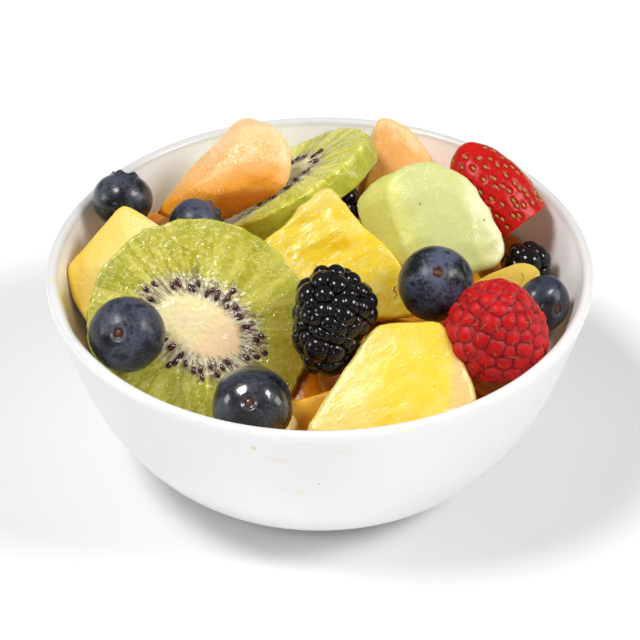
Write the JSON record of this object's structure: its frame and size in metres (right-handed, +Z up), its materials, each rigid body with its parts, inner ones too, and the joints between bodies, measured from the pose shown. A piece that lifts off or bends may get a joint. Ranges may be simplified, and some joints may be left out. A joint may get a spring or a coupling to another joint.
{
  "type": "fruit salad in a bowl",
  "caption": "Fruit salad of berries, kiwi slices and cut melon, pineapple and mango heaped in a plain white bowl.",
  "frame": {"origin": "centre of the bowl's flat base, on the surface it stands on", "axes": "+Z up along the bowl's axis; -Y towards the side that is looked at; +X to the right of that side"},
  "size_m": [0.12, 0.12, 0.0625],
  "materials": {
    "white_glaze": "plain white gloss glaze with faint juice smears on the rim and wall",
    "kiwi_flesh": "wet green flesh with pale core, rays and dark seeds",
    "blueberry_skin": "dark blue skin with a patchy pale bloom and wet spots",
    "bramble_skin": "glossy near-black drupelets with a purple-red hint",
    "raspberry_skin": "soft red drupelets with fine tan hairs",
    "strawberry_skin": "glossy red skin with gold seeds in dimples",
    "orange_melon_flesh": "wet pale orange melon flesh, deeper orange towards the seed side",
    "green_melon_flesh": "wet pale green melon flesh, greener towards the rind side",
    "pineapple_flesh": "wet fibrous yellow flesh",
    "golden_flesh": "smooth wet golden yellow flesh"
  },
  "bodies": {
    "root": {"bowl": "white_glaze", "kiwi_front": "kiwi_flesh", "kiwi_back": "kiwi_flesh", "blueberry_rear_left": "blueberry_skin", "blueberry_behind_kiwi": "blueberry_skin", "blueberry_left": "blueberry_skin", "blueberry_front": "blueberry_skin", "blueberry_middle": "blueberry_skin", "blueberry_right": "blueberry_skin", "bramble_middle": "bramble_skin", "bramble_right": "bramble_skin", "bramble_back": "bramble_skin", "raspberry": "raspberry_skin", "strawberry": "strawberry_skin", "cantaloupe_left": "orange_melon_flesh", "cantaloupe_back": "orange_melon_flesh", "honeydew": "green_melon_flesh", "pineapple_middle": "pineapple_flesh", "pineapple_front": "pineapple_flesh", "mango_left": "golden_flesh", "mango_right": "golden_flesh", "mango_under_bramble": "golden_flesh", "mango_front": "golden_flesh", "mango_under_raspberry": "golden_flesh", "lower_fruit": "golden_flesh"}
  },
  "joints": []
}
